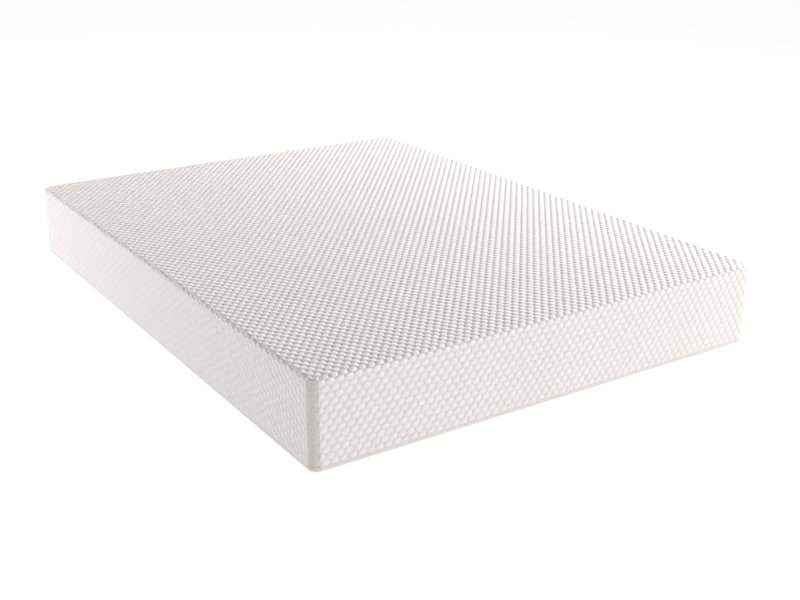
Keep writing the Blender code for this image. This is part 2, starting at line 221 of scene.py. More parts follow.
class RoundedBox:
    """A box with rounded upright corners and rounded top and bottom edges.

    A point is given on the sharp box and is moved to the rounded one. The cloth
    coordinates u and v are lengths along the surface from the middle of the top,
    so that a pattern drawn in them runs on over the top edges.
    """

    def __init__(self, half_x, half_y, low, high, corner, top_edge, bottom_edge=0.0):
        self.half = (half_x, half_y)
        self.low, self.high = low, high
        self.corner = corner
        self.top_edge, self.bottom_edge = max(top_edge, 1e-6), max(bottom_edge, 1e-6)

    def level_face(self, x, y, is_top):
        """Position, normal and cloth coordinates on the top or bottom face."""
        radius = self.top_edge if is_top else self.bottom_edge
        half_x, half_y = self.half
        sign_x, sign_y = np.where(x < 0, -1.0, 1.0), np.where(y < 0, -1.0, 1.0)
        deep_x, deep_y = half_x - np.abs(x), half_y - np.abs(y)
        deep = np.minimum(deep_x, deep_y)
        turn = pi / 4 + pi / 4 * np.clip(deep / radius, 0.0, 1.0)
        inset = np.where(deep < radius, radius * (1 - np.cos(turn)), deep)
        near_x = deep_x < deep_y
        plan_x = np.where(near_x, half_x - inset, np.abs(x))
        plan_y = np.where(near_x, np.abs(y), half_y - inset)
        out_x, out_y = near_x.astype(float), (~near_x).astype(float)
        q_x, q_y = self.corner - deep_x, self.corner - deep_y
        at_corner = (q_x > 0) & (q_y > 0)
        angle = pi / 4 * np.minimum(q_x, q_y) / np.maximum(np.maximum(q_x, q_y), 1e-9)
        angle = np.where(near_x, angle, pi / 2 - angle)
        reach = self.corner - inset
        plan_x = np.where(at_corner, half_x - self.corner + reach * np.cos(angle), plan_x)
        plan_y = np.where(at_corner, half_y - self.corner + reach * np.sin(angle), plan_y)
        out_x = np.where(at_corner, np.cos(angle), out_x)
        out_y = np.where(at_corner, np.sin(angle), out_y)
        rise = radius * (1 - np.sin(turn))
        z = self.high - rise if is_top else self.low + rise
        up = np.sin(turn) if is_top else -np.sin(turn)
        level = np.cos(turn) * (deep < radius)
        up = np.where(level > 0, up, 1.0 if is_top else -1.0)
        place = np.stack([sign_x * plan_x, sign_y * plan_y, z], -1)
        normal = np.stack([sign_x * out_x * level, sign_y * out_y * level, up], -1)
        cloth = np.stack([sign_x * self.length_in(deep_x, half_x, radius),
                          sign_y * self.length_in(deep_y, half_y, radius)], -1)
        return place, normal, cloth

    def length_in(self, depth, half, radius):
        """Length along the surface from the middle of the top to this depth."""
        turn = pi / 4 * (1 + depth / radius)
        return np.where(depth < radius, half - radius + radius * (pi / 2 - turn), half - depth)

    def side_face(self, along, z, side):
        """Position, normal and cloth coordinates on a side: foot, head, left or right."""
        across_x = side in ("foot", "head")
        half_a, half_b = self.half if across_x else self.half[::-1]
        sign_b = -1.0 if side in ("foot", "left") else 1.0
        sign_a = np.where(along < 0, -1.0, 1.0)
        from_corner = half_a - np.abs(along)
        swing = pi / 4 * np.clip(1 - from_corner / self.corner, 0.0, 1.0)
        round_it = from_corner < self.corner
        centre_a, centre_b = half_a - self.corner, half_b - self.corner
        out_a, out_b = np.sin(swing), np.cos(swing)
        plan_a = np.where(round_it, centre_a + self.corner * out_a, np.abs(along))
        plan_b = centre_b + self.corner * out_b
        below, above = self.high - z, z - self.low
        top, bottom = self.top_edge, self.bottom_edge
        turn_top = pi / 4 * np.clip(1 - below / top, 0.0, 1.0)
        turn_low = pi / 4 * np.clip(1 - above / bottom, 0.0, 1.0)
        inset = top * (1 - np.cos(turn_top)) + bottom * (1 - np.cos(turn_low))
        height = np.where(below < top, self.high - top + top * np.sin(turn_top), z)
        height = np.where(above < bottom, self.low + bottom - bottom * np.sin(turn_low), height)
        turn = turn_top - turn_low
        place_a, place_b = sign_a * (plan_a - inset * out_a), sign_b * (plan_b - inset * out_b)
        normal_a, normal_b = sign_a * out_a * np.cos(turn), sign_b * out_b * np.cos(turn)
        cloth_a = np.where(round_it, centre_a + self.corner * swing, np.abs(along)) * sign_a
        down = np.where(below < top, top * (pi / 2 - turn_top), top * pi / 2 + below - top)
        cloth_b = sign_b * (half_b - top + down)
        place = [place_a, place_b, height]
        normal = [normal_a, normal_b, np.sin(turn)]
        cloth = [cloth_a, cloth_b]
        if not across_x:
            for row in (place, normal, cloth):
                row[0], row[1] = row[1], row[0]
        return np.stack(place, -1), np.stack(normal, -1), np.stack(cloth, -1)


def box_surface(box, xs, ys, zs, faces):
    """Grid over the named faces of a rounded box, with the points that faces share made one.

    Returns a dictionary of arrays: place, normal, cloth, depth (how far from the
    sharp upright corner, on a side), kind (0 level, 1 end, 2 long side) and quads.
    """
    count_y, count_z = len(ys), len(zs)
    keys, quads = [], []
    parts = {"place": [], "normal": [], "cloth": [], "depth": [], "kind": []}
    for face in faces:
        if face in ("top", "bottom"):
            i, j = np.meshgrid(np.arange(len(xs)), np.arange(count_y), indexing="ij")
            k = np.full_like(i, count_z - 1 if face == "top" else 0)
            place, normal, cloth = box.level_face(xs[i], ys[j], face == "top")
            depth, kind = np.full(i.shape, 1.0), np.zeros(i.shape)
            turn_over = face == "bottom"
        elif face in ("foot", "head"):
            i, k = np.meshgrid(np.arange(len(xs)), np.arange(count_z), indexing="ij")
            j = np.full_like(i, 0 if face == "foot" else count_y - 1)
            place, normal, cloth = box.side_face(xs[i], zs[k], face)
            depth, kind = box.half[0] - np.abs(xs[i]), np.ones(i.shape)
            turn_over = face == "head"
        else:
            j, k = np.meshgrid(np.arange(count_y), np.arange(count_z), indexing="ij")
            i = np.full_like(j, 0 if face == "left" else len(xs) - 1)
            place, normal, cloth = box.side_face(ys[j], zs[k], face)
            depth, kind = box.half[1] - np.abs(ys[j]), np.full(j.shape, 2.0)
            turn_over = face == "left"
        key = (i * count_y + j) * count_z + k
        quad = np.stack([key[:-1, :-1], key[1:, :-1], key[1:, 1:], key[:-1, 1:]], -1)
        quad = quad.reshape(-1, 4)
        quads.append(quad[:, ::-1] if turn_over else quad)
        keys.append(key.ravel())
        for part, values in zip(parts, (place, normal, cloth, depth, kind)):
            parts[part].append(values.reshape(key.size, *values.shape[2:]))
    unique, first = np.unique(np.concatenate(keys), return_index=True)
    shell = {part: np.concatenate(values)[first] for part, values in parts.items()}
    shell["quads"] = np.searchsorted(unique, np.concatenate(quads))
    return shell


def plan_lines(box, edge, step):
    """Grid lines along X and Y, close to the box's edges."""
    return [stations(half, edge, step, 0.0) for half in box.half]


def cloth_field(shell):
    return np.column_stack([shell["cloth"], np.zeros(len(shell["cloth"]))])


def skin(name, shell, offset, material):
    """A box surface moved out by this much at each point."""
    place = shell["place"] + shell["normal"] * offset[:, None]
    return mesh_object(name, place, shell["quads"], material, {"cloth": cloth_field(shell)})


def stations(half, edge_depths, step, start):
    """Positions from -half to half: near each end at these depths, and between them on a
    lattice of this step through start."""
    edge = half - np.asarray(edge_depths)
    inner = edge.min()
    first = np.ceil((-inner + step * 0.35 - start) / step)
    last = np.floor((inner - step * 0.35 - start) / step)
    middle = start + step * np.arange(first, last + 1)
    return np.sort(np.concatenate([edge, -edge, middle]))


# --- Materials ---------------------------------------------------------------


class Shader:
    """A Principled material with short calls for its procedural nodes."""

    def __init__(self, name, roughness=0.8, metallic=0.0, sheen=0.0, specular=0.3):
        self.material = bpy.data.materials.new(name)
        self.material.use_nodes = True
        self.tree = self.material.node_tree
        self.shader = self.tree.nodes["Principled BSDF"]
        looks = {"Roughness": roughness, "Metallic": metallic, "Specular IOR Level": specular,
                 "Sheen Weight": sheen, "Sheen Roughness": 0.45}
        for socket, value in looks.items():
            self.shader.inputs[socket].default_value = value

    def node(self, kind, inputs=None, **settings):
        made = self.tree.nodes.new(kind)
        for name, value in settings.items():
            setattr(made, name, value)
        for name, value in (inputs or {}).items():
            if isinstance(value, bpy.types.NodeSocket):
                self.tree.links.new(value, made.inputs[name])
            else:
                made.inputs[name].default_value = value
        return made

    def finish(self, colour, roughness, normal):
        for socket, name in ((colour, "Base Color"), (roughness, "Roughness"), (normal, "Normal")):
            if socket:
                self.tree.links.new(socket, self.shader.inputs[name])
        return self.material

    def place(self):
        return self.node("ShaderNodeTexCoord").outputs["Object"]

    def field(self, name):
        return self.node("ShaderNodeAttribute", attribute_name=name).outputs["Vector"]

    def split(self, vector):
        return self.node("ShaderNodeSeparateXYZ", {"Vector": vector}).outputs

    def noise(self, vector, scale, detail=2.0):
        inputs = {"Vector": vector, "Scale": scale, "Detail": detail}
        return self.node("ShaderNodeTexNoise", inputs).outputs["Fac"]

    def wave(self, vector, scale, direction):
        return self.node("ShaderNodeTexWave", {"Vector": vector, "Scale": scale},
                         wave_type="BANDS", bands_direction=direction).outputs["Fac"]

    def pores(self, vector, scale):
        inputs = {"Vector": vector, "Scale": scale}
        return self.node("ShaderNodeTexVoronoi", inputs).outputs["Distance"]

    def math(self, operation, a, b):
        return self.node("ShaderNodeMath", {0: a, 1: b}, operation=operation).outputs[0]

    def ramp(self, value, low, high, out_low=0.0, out_high=1.0):
        inputs = {"Value": value, "From Min": low, "From Max": high,
                  "To Min": out_low, "To Max": out_high}
        return self.node("ShaderNodeMapRange", inputs).outputs["Result"]

    def mix(self, share, first, second):
        """A blend of two colours, each a socket or three values."""
        first, second = (colour if isinstance(colour, bpy.types.NodeSocket) else (*colour, 1.0)
                         for colour in (first, second))
        inputs = {0: share, 6: first, 7: second}
        return self.node("ShaderNodeMix", inputs, data_type="RGBA").outputs[2]

    def bump(self, height, distance, strength, before=None):
        inputs = {"Height": height, "Distance": distance, "Strength": strength}
        if before is not None:
            inputs["Normal"] = before
        return self.node("ShaderNodeBump", inputs).outputs["Normal"]


def puffed_knit_material():
    """Off-white double knit: fine loops along the courses, with painted shade in the gaps between
    the puffs (partly the denser knit there), on the smooth corner band and in the seam's groove.
    """
    s = Shader("puffed_knit_look", sheen=0.25)
    puff, band = s.split(s.field("knit"))[:2]
    cloth = s.field("cloth")
    wales = s.wave(cloth, 190.0, "X")
    courses = s.wave(cloth, 150.0, "Y")
    loops = s.math("MULTIPLY", wales, courses)
    # The knit's loops run out towards the smooth band round each corner.
    loops = s.math("MULTIPLY", loops, s.math("SUBTRACT", 1.0, band))
    fuzz = s.noise(s.place(), 900.0, detail=3.0)
    # Painted shade: the puff share darkens the gaps between puffs, partly for the denser knit
    # there.
    shade = s.mix(puff, (0.740, 0.705, 0.678), (0.830, 0.801, 0.776))
    shade = s.mix(s.ramp(loops, 0.0, 1.0, 0.0, 0.16), shade, (0.83, 0.80, 0.775))
    patchy = s.noise(cloth, 5.0, detail=3.0)
    shade = s.mix(s.ramp(patchy, 0.35, 0.7, 0.0, 0.12), shade, (0.77, 0.735, 0.705))
    # Painted shade: the smooth band round each corner and the seam's groove are painted darker.
    shade = s.mix(band, shade, (0.665, 0.620, 0.590))
    normal = s.bump(loops, 0.0004, 0.6, s.bump(fuzz, 0.0002, 0.5))
    return s.finish(shade, s.ramp(fuzz, 0.2, 0.8, 0.78, 0.92), normal)


def plain_knit_material(name, light, dark, wale=230.0, bump=0.0003, sheen=0.2):
    """Flat jersey with fine wales, in these two shades."""
    s = Shader(name, sheen=sheen)
    cloth = s.field("cloth")
    wales = s.wave(cloth, wale, "X")
    courses = s.wave(cloth, wale * 0.7, "Y")
    loops = s.math("MULTIPLY", wales, courses)
    patchy = s.noise(cloth, 18.0, detail=4.0)
    shade = s.mix(s.ramp(loops, 0.0, 1.0), dark, light)
    shade = s.mix(s.ramp(patchy, 0.3, 0.75, 0.0, 0.25), shade, dark)
    return s.finish(shade, s.ramp(patchy, 0.2, 0.8, 0.75, 0.92), s.bump(loops, bump, 0.8))


def woven_material(name, light, dark, thread=330.0):
    """Twill: two sets of threads crossing on the slant."""
    s = Shader(name, sheen=0.1)
    cloth = s.field("cloth")
    weft = s.wave(cloth, thread, "DIAGONAL")
    warp = s.wave(cloth, thread * 0.8, "Y")
    threads = s.math("MULTIPLY", weft, warp)
    patchy = s.noise(cloth, 30.0, detail=3.0)
    shade = s.mix(s.ramp(patchy, 0.3, 0.8, 0.0, 0.3), s.mix(threads, dark, light), dark)
    return s.finish(shade, s.ramp(patchy, 0.2, 0.8, 0.7, 0.9), s.bump(threads, 0.00025, 0.9))


def foam_material(name, light, dark):
    """Cut open-cell foam."""
    s = Shader(name, roughness=0.95, specular=0.15)
    place = s.place()
    pores = s.pores(place, 420.0)
    cloudy = s.noise(place, 12.0, detail=4.0)
    shade = s.mix(s.ramp(pores, 0.0, 0.6), dark, light)
    shade = s.mix(s.ramp(cloudy, 0.35, 0.7, 0.0, 0.3), shade, dark)
    return s.finish(shade, s.ramp(cloudy, 0.2, 0.8, 0.88, 0.98), s.bump(pores, 0.0006, 0.7))


def thread_material(name, light, dark):
    """Twisted polyester thread."""
    s = Shader(name, roughness=0.55, sheen=0.2)
    twist = s.wave(s.place(), 900.0, "DIAGONAL")
    return s.finish(s.mix(twist, dark, light), None, s.bump(twist, 0.0001, 0.7))


def coil_material():
    """Milky nylon of the zip's teeth."""
    s = Shader("zip_coil_look", specular=0.5)
    flow = s.noise(s.place(), 160.0, detail=3.0)
    shade = s.mix(flow, (0.70, 0.685, 0.66), (0.80, 0.785, 0.76))
    return s.finish(shade, s.ramp(flow, 0.2, 0.8, 0.28, 0.45), s.bump(flow, 0.0001, 0.3))


def metal_material():
    """Plated zinc, brushed lengthways and worn duller where it is rubbed."""
    s = Shader("zip_metal_look", metallic=1.0, specular=0.5)
    place = s.place()
    stretched = s.node("ShaderNodeMapping", {"Vector": place, "Scale": (40.0, 900.0, 900.0)})
    brushed = s.noise(stretched.outputs["Vector"], 1.0, detail=3.0)
    worn = s.noise(place, 350.0, detail=4.0)
    shade = s.mix(worn, (0.62, 0.62, 0.63), (0.80, 0.80, 0.81))
    return s.finish(shade, s.ramp(worn, 0.3, 0.7, 0.22, 0.42), s.bump(brushed, 0.00004, 0.5))


def floor_material():
    s = Shader("studio_floor", roughness=0.6, specular=0.2)
    grain = s.noise(s.place(), 2.0)
    shade = s.mix(grain, (0.36, 0.36, 0.36), (0.37, 0.37, 0.37))
    s.shader.inputs["Emission Color"].default_value = WHITE
    s.shader.inputs["Emission Strength"].default_value = FLOOR_EMISSION
    return s.finish(shade, None, None)


# --- The puffed cover --------------------------------------------------------


def puffs(u, v):
    """Share of the full puff height, from 0 in the gaps to 1 on top of a puff."""
    row_near = np.round((v - PUFF_START_V) / PUFF_STEP_V)
    height = np.zeros_like(u)
    for row_offset in (-1, 0, 1):
        row = row_near + row_offset
        shift = PUFF_START_U + row * PUFF_SHIFT_U
        column = np.round((u - shift) / PUFF_STEP_U)
        jitter = [noise_of(row, column, seed) - 0.5 for seed in (1, 2, 3, 4, 5)]
        centre_u = shift + column * PUFF_STEP_U + PUFF_SHIFT_JITTER[0] * jitter[0]
        centre_v = PUFF_START_V + row * PUFF_STEP_V + PUFF_SHIFT_JITTER[1] * jitter[1]
        radius_u = PUFF_RADIUS_U * (1 + PUFF_SIZE_JITTER * jitter[2])
        radius_v = PUFF_RADIUS_V * (1 + PUFF_SIZE_JITTER * jitter[3])
        away_v = (v - centre_v) / radius_v
        away_u = (u - centre_u - PUFF_LEAN * (v - centre_v)) / radius_u
        away = np.sqrt(away_u**2 + away_v**2)
        dome = np.clip(1 - away**PUFF_FULLNESS, 0.0, 1.0)
        height = np.maximum(height, dome * (1 + PUFF_HEIGHT_JITTER * jitter[4]))
    return np.clip(height, 0.0, 1.1)


def cover_relief(shell):
    """How far each point of the cover stands in from the outermost surface, with the puff
    and band shares that its material uses. The puff share carries painted shade in the gaps
    (partly the denser knit) and on the sides' puffs; the band share paints shade on the
    smooth corner band and in the seam's groove."""
    u, v = shell["cloth"][:, 0], shell["cloth"][:, 1]
    z, depth, kind = shell["place"][:, 2], shell["depth"], shell["kind"]
    puff = puffs(u, v)
    on_side = smoothstep(SIDE_STARTS, SIDE_IN_FULL, z)
    past_seam = smoothstep(SEAM_SETBACK - 0.0006, SEAM_SETBACK + 0.0055, depth)
    past_band = smoothstep(BAND_EDGE - 0.004, BAND_EDGE + 0.0025, depth)
    free = np.where(kind == 1, past_seam, np.where(kind == 2, past_band, 1.0))
    band = (1 - free) * on_side
    at_hem = smoothstep(COVER_BOTTOM + 0.0062, COVER_BOTTOM + 0.0008, z)
    creases = (1 - puff) * (1 + (SIDE_PUFF_DEPTH - 1) * on_side)
    raised = (1 - creases) * (1 - band) * (1 - at_hem) * PUFF_HEIGHT
    tug = TUG_DEPTH * np.sin(z * 2 * pi / TUG_LENGTH + 2.0 * np.sin(z * 41.0)) * on_side
    raised += band * (BAND_LEVEL + tug)
    raised += at_hem * (1 - band) * HEM_LEVEL
    seam = bell(depth - SEAM_SETBACK, SEAM_HALF_WIDTH) * (kind == 1) * on_side
    raised -= seam * SEAM_DEPTH
    # Painted shade: gaps darker than the puffs (partly the denser knit there), the gap shade eased
    # on the sides, and the side puffs darker.
    density_and_shade_tone = 1 - (1 - puff) * (1 - SIDE_GAP_SHADE_EASE * on_side) - SIDE_PUFF_SHADE * on_side * puff
    # The band share, with part of the seam's groove, paints shade on the smooth band and in the
    # groove.
    return PUFF_HEIGHT - raised, density_and_shade_tone * (1 - band), np.clip(band + 0.4 * seam, 0, 1)


def soft_form(shell, corner_drop=CORNER_DROP):
    """Gentle sag of the whole form and of its top corners, along the normal, at most zero."""
    x, y, z = shell["place"].T
    from_corner = np.sqrt((np.abs(x) - HALF_X + CORNER_REACH) ** 2
                          + (np.abs(y) - HALF_Y + CORNER_REACH) ** 2 + (z - TOP) ** 2)
    drop = corner_drop * bell(from_corner, CORNER_SPREAD)
    crown = (1 - (x / HALF_X) ** 2) * (1 - (y / HALF_Y) ** 2)
    level = smoothstep(0.35, 0.95, np.abs(shell["normal"][:, 2]))
    share = np.clip(z / TOP, 0, 1)
    barrel = 4 * share * (1 - share)
    wave = slow_waves(shell["cloth"][:, 0], shell["cloth"][:, 1], SLOW_WAVE_LENGTH, 11)
    lowered = SLOW_WAVE * wave - (CROWN + SLOW_WAVE)
    on_top = CROWN * crown + lowered
    on_side = (CROWN * barrel + lowered) * smoothstep(0.016, 0.060, z)
    return level * on_top + (1 - level) * on_side - drop


OPEN_BELOW = ("top", "foot", "head", "left", "right")


def make_cover(material):
    """The knit's puffed outer face, down to the hem."""
    box = RoundedBox(HALF_X, HALF_Y, COVER_BOTTOM, TOP, CORNER_RADIUS, TOP_RADIUS)
    xs = stations(HALF_X, metres(COVER_END_LINES), GRID_U, PUFF_START_U)
    ys = stations(HALF_Y, metres(COVER_SIDE_LINES), GRID_V, PUFF_START_V)
    low, high = COVER_BOTTOM + metres(COVER_LOW_LINES), TOP - metres(COVER_TOP_LINES)
    middle = np.arange(TOP - 0.0180, low.max() + 0.0015, -GRID_V)
    zs = np.sort(np.concatenate([low, middle, high]))
    shell = box_surface(box, xs, ys, zs, OPEN_BELOW)
    inset, puff, band = cover_relief(shell)
    lining = soft_form(shell, corner_drop=BACKING_CORNER_DROP) - BACKING_INSET
    offset = np.maximum(soft_form(shell) - inset, lining + BACKING_GAP)
    place = shell["place"] + shell["normal"] * offset[:, None]
    # The lowest ring turns in under the knit's edge.
    lowest = shell["place"][:, 2] < COVER_BOTTOM + 0.0001
    place[lowest] -= shell["normal"][lowest] * (COVER_THICKNESS - 0.0004 + offset[lowest, None])
    fields = {
        "cloth": cloth_field(shell),
        # The knit field carries painted shade: the gap tone, and the band share with the seam's
        # groove.
        "knit": np.column_stack([np.clip(puff, 0, 1), band, np.zeros(len(place))]),
    }
    return mesh_object("cover_knit", place, shell["quads"], material, fields)


def make_backing(material):
    """The cover's inner face, seen from below when the cover is lifted off."""
    inset = BACKING_INSET
    box = RoundedBox(HALF_X - inset, HALF_Y - inset, COVER_BOTTOM, TOP - inset,
                     CORNER_RADIUS - inset, TOP_RADIUS - inset)
    xs, ys = plan_lines(box, metres(BACKING_LINES), 0.022)
    rise = metres(BACKING_TOP_LINES)
    zs = np.concatenate([np.linspace(COVER_BOTTOM, box.high - 0.0110, 14), box.high - rise[::-1]])
    shell = box_surface(box, xs, ys, zs, OPEN_BELOW)
    sag = soft_form(shell, corner_drop=BACKING_CORNER_DROP)
    shell["quads"] = shell["quads"][:, ::-1]
    return skin("cover_backing", shell, sag, material)


# --- Strips, stitches and zip teeth swept round the outline ------------------


def outline_runs():
    """Lengths of the outline's straight runs and corners, from the middle of the head end."""
    run_x, run_y = HALF_X - CORNER_RADIUS, HALF_Y - CORNER_RADIUS
    arc = CORNER_RADIUS * pi / 2
    return [run_x, arc, 2 * run_y, arc, 2 * run_x, arc, 2 * run_y, arc, run_x]


PERIMETER = sum(outline_runs())


def outline(lengths):
    """Points and outward directions on the cover's outline, at these lengths round it from
    the middle of the head end, setting off towards -X."""
    lengths = np.mod(lengths, PERIMETER)
    places, outs = np.zeros((len(lengths), 2)), np.zeros((len(lengths), 2))
    point, heading, start = np.array([0.0, HALF_Y]), pi, 0.0
    for index, run in enumerate(outline_runs()):
        here = (lengths >= start) & (lengths <= start + run)
        along = (lengths[here] - start)[:, None]
        ahead = np.array([cos(heading), sin(heading)])
        out = np.array([ahead[1], -ahead[0]])
        if index % 2 == 0:
            places[here] = point + along * ahead
            outs[here] = out
            point = point + run * ahead
        else:
            centre = point - CORNER_RADIUS * out
            angle = heading - pi / 2 + along / CORNER_RADIUS
            outs[here] = np.hstack([np.cos(angle), np.sin(angle)])
            places[here] = centre + CORNER_RADIUS * outs[here]
            heading += pi / 2
            point = centre + CORNER_RADIUS * np.array([sin(heading), -cos(heading)])
        start += run
    return places, outs


def round_stations(step, corner_steps, start=0.0, end=PERIMETER):
    """Lengths round the outline, at this step on the straights and closer at the corners."""
    found, here = [], 0.0
    for index, run in enumerate(outline_runs()):
        count = max(int(np.ceil(run / step)), 1) if index % 2 == 0 else corner_steps
        found.append(here + run * np.arange(count) / count)
        here += run
    found = np.concatenate(found)
    found = found[(found > start + step * 0.1) & (found < end - step * 0.1)]
    return np.concatenate([[start], found, [] if end == PERIMETER else [end]])


def strip_profile(line, thickness, tip=0.5):
    """A closed loop round a line of (inset, height) points, which is drawn from the bottom
    of the outer side upwards. tip is how far each end bulges, as a share of the thickness."""
    line = np.asarray(line, float)
    ahead = unit(np.gradient(line, axis=0))
    out = np.column_stack([-ahead[:, 1], ahead[:, 0]]) * thickness / 2
    ends = [line[-1] + ahead[-1] * thickness * tip, line[0] - ahead[0] * thickness * tip]
    return np.vstack([line + out, ends[:1], (line - out)[::-1], ends[1:]])


def ring_quads(count, sides, closed=True):
    """Faces between rings of points, one ring after another."""
    i = np.arange(count if closed else count - 1)[:, None]
    j = np.arange(sides)[None, :]
    here, ahead = i * sides, (i + 1) % count * sides
    j_next = (j + 1) % sides
    return np.stack([here + j, ahead + j, ahead + j_next, here + j_next], -1).reshape(-1, 4)


def sweep(name, lengths, profile, material, closed=True, relief=None):
    """Carries a closed loop of (inset, height) points round the outline. relief takes the
    lengths, the loop's own lengths and its points, and returns the points to use."""
    places, outs = outline(lengths)
    count, sides = len(lengths), len(profile)
    steps = np.linalg.norm(np.roll(profile, -1, 0) - profile, axis=1)
    round_loop = np.concatenate([[0], np.cumsum(steps)[:-1]])
    inset = np.broadcast_to(profile[:, 0], (count, sides))
    height = np.broadcast_to(profile[:, 1], (count, sides))
    if relief:
        inset, height = relief(lengths[:, None], round_loop[None, :], inset, height)
    plan = places[:, None, :] - outs[:, None, :] * inset[..., None]
    points = np.concatenate([plan, height[..., None]], -1).reshape(-1, 3)
    quads = ring_quads(count, sides, closed)
    if not closed:
        k = np.arange(sides // 2 - 1)
        cap = np.stack([k, k + 1, sides - 3 - k, sides - 2 - k], -1)
        far = cap[:, ::-1] + (count - 1) * sides
        quads = np.vstack([quads, cap, far])
    cloth = np.stack(np.broadcast_arrays(lengths[:, None], round_loop[None, :], 0.0), -1)
    return mesh_object(name, points, quads, material, {"cloth": cloth.reshape(-1, 3)})


def stitches(name, centres, aheads, outs, length, radius, material):
    """Short threads lying on a surface, each a little tube that dips in at its ends."""
    centres, aheads, outs = (np.asarray(a, float)[:, None, None, :]
                             for a in (centres, aheads, outs))
    sides = np.cross(outs, aheads)
    along = np.array([-0.5, -0.34, 0.34, 0.5])[None, :, None, None] * length
    dip = np.array([-1.1, 0.0, 0.0, -1.1])[None, :, None, None] * radius
    width = np.array([0.7, 1.0, 1.0, 0.7])[None, :, None, None] * radius
    turn = (np.arange(4) * pi / 2 + pi / 4)[None, None, :, None]
    points = (centres + aheads * along + outs * (dip + width * np.cos(turn))
              + sides * width * np.sin(turn))
    count = points.shape[0]
    ring, corner = np.meshgrid(np.arange(3), np.arange(4), indexing="ij")
    a, b = ring * 4 + corner, ring * 4 + (corner + 1) % 4
    quads = np.stack([a, b, b + 4, a + 4], -1).reshape(-1, 4)
    quads = np.vstack([quads, [[3, 2, 1, 0], [12, 13, 14, 15]]])
    quads = (quads[None] + np.arange(count)[:, None, None] * 16).reshape(-1, 4)
    return mesh_object(name, points.reshape(-1, 3), quads, material)


def upright_frames(lengths, inset, height):
    """Points at this inset and height round the outline, with the directions out and along."""
    places, outs = outline(lengths)
    flat = np.zeros((len(lengths), 1))
    inset = np.broadcast_to(inset, len(lengths))[:, None]
    centres = np.hstack([places - outs * inset, flat + np.reshape(height, (-1, 1))])
    return centres, np.hstack([outs, flat]), np.hstack([-outs[:, 1:], outs[:, :1], flat])


def stitch_row(name, lengths, inset, height, length, radius, material, facing="out"):
    """A row of stitches round the outline, on a face that looks out, in or down."""
    centres, outs, aheads = upright_frames(lengths, inset, height)
    normals = {"out": outs, "in": -outs, "down": outs * 0 - (0.0, 0.0, 1.0)}[facing]
    return stitches(name, centres, aheads, normals, length, radius, material)


def spaced(spacing, start=0.0, end=PERIMETER):
    return np.arange(start + spacing, end - spacing / 2, spacing)


def hem_relief(lengths, loop, inset, height):
    """Soft puckers that the stitching draws into the hem, and the groove under the thread."""
    upper = smoothstep(0.004, 0.011, height) * smoothstep(0.0156, 0.0140, height)
    pucker = 0.00022 * np.sin(lengths * 2 * pi / 0.0172 + 1.3 * np.sin(lengths * 37.0))
    slack = 0.00022 * slow_waves(lengths, 0 * lengths, 0.13, 5)
    groove = 0.00020 * bell(height - HEM_STITCH_HEIGHT, 0.0007)
    outer = inset < HEM_INSET + HEM_THICKNESS * 0.6
    return inset + upper * (pucker + slack) + 0.0002 + groove * outer, height


def make_hem(knit, thread):
    """The hem band, from under the bottom edge up to the puffs, and its row of stitches."""
    middle = HEM_INSET + HEM_THICKNESS / 2
    reach = HEM_CURL_RADIUS - HEM_THICKNESS / 2
    turn = np.radians(HEM_TURNS)
    curl = np.column_stack([middle + reach - reach * np.cos(turn),
                            HEM_CURL_RADIUS - reach * np.sin(turn)])
    upright = [(middle, height) for height in HEM_HEIGHTS]
    profile = strip_profile(np.vstack([curl, upright]), HEM_THICKNESS, tip=0.08)
    start, end = HEM_END_X, PERIMETER - HEM_END_X
    lengths = round_stations(0.0029, 22, start, end)
    hem = sweep("hem_band_knit", lengths, profile, knit, closed=False, relief=hem_relief)
    thread_row = stitch_row("hem_stitching", spaced(0.0042, start, end), HEM_INSET + 0.0004,
                            HEM_STITCH_HEIGHT, 0.0034, 0.0003, thread)
    return hem, thread_row


def rib_relief(lengths, loop, inset, height):
    """The ribbed face of a woven tape."""
    return inset + 0.00007 * np.sin(loop * 2 * pi / 0.0016), height


def make_tapes(material, thread):
    """The two zip tapes: a straight one on the cover, and one turned in under the core."""
    low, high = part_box("zip_tape_upper")
    inset = HALF_X - high.x + TAPE_THICKNESS / 2
    heights = np.linspace(low.z + 0.0004, high.z - 0.0004, 26)
    profile = strip_profile([(inset, z) for z in heights], TAPE_THICKNESS)
    upper = sweep("zip_tape_upper_weave", round_stations(0.03, 14), profile, material,
                  relief=rib_relief)
    rows = stitch_row("zip_tape_stitching", spaced(0.0036), inset + 0.00055, 0.0150,
                      0.0028, 0.00022, thread, facing="in")
    low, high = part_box("zip_tape_lower")
    flat = [(inset + reach, low.z + 0.0004) for reach in np.linspace(0.0098, 0.0012, 9)]
    bend = [(inset + 0.0005, low.z + 0.0005), (inset + 0.0001, low.z + 0.0009)]
    upright = [(inset, z) for z in np.linspace(low.z + 0.0014, high.z - 0.0004, 5)]
    lower = sweep("zip_tape_lower_weave", round_stations(0.03, 14),
                  strip_profile(flat + bend + upright, TAPE_THICKNESS), material)
    return upper, rows, lower


def tube(name, centres, aheads, firsts, radii, sides, material):
    """A tube round a closed line. firsts point from the line to the first side."""
    turn = (np.arange(sides) * 2 * pi / sides)[None, :, None]
    seconds = np.cross(aheads, firsts)
    rim = firsts[:, None] * np.cos(turn) + seconds[:, None] * np.sin(turn)
    points = centres[:, None] + radii[:, None, None] * rim
    return mesh_object(name, points.reshape(-1, 3), ring_quads(len(centres), sides), material)


def headings(loop):
    return unit(np.roll(loop, -1, 0) - np.roll(loop, 1, 0))


